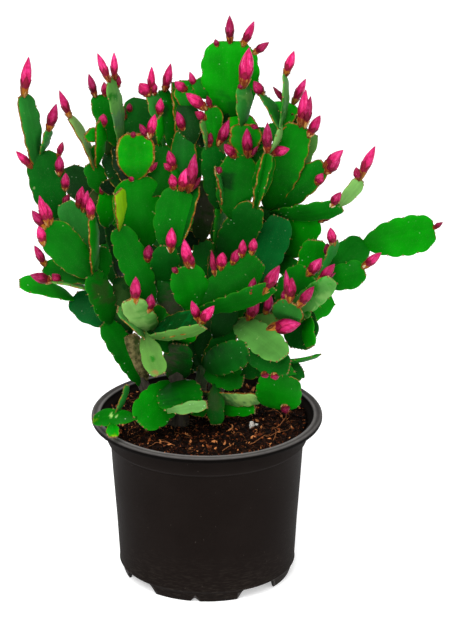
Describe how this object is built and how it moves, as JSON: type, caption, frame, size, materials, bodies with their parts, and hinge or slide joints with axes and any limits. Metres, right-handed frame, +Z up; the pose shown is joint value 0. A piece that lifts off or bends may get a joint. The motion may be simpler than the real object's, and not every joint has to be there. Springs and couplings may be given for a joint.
{
  "type": "potted cactus",
  "caption": "Potted christmas cactus in bud: arching stems of flat, scalloped segments growing from soil in a round nursery pot with a rolled rim and gapped foot ring.",
  "frame": {"origin": "on the surface the pot stands on, under the middle of the whole plant's spread; the pot's axis stands 12.3 mm to -X and 5.9 mm to -Y of it", "axes": "+Z up along the pot's axis, -Y to the front seen in the picture, +X to the right seen from the front"},
  "size_m": [0.2167, 0.1319, 0.3004],
  "materials": {
    "pot_plastic": "matte, with a soft sheen on the rim",
    "potting_soil": "rough, moist, fibrous",
    "cactus_green": "waxy, soft gloss",
    "woody_stem": "dry, wrinkled",
    "bud_pink": "silky petals",
    "bud_cup": "waxy",
    "areole": "dry, felted",
    "soil_fibre": "dry fibre",
    "perlite": "matte grain"
  },
  "bodies": {
    "root": {"pot": "pot_plastic", "soil": "potting_soil", "stem_left": "cactus_green", "stem_centre": "cactus_green", "stem_right": "cactus_green", "stem_front": "cactus_green"}
  },
  "joints": []
}
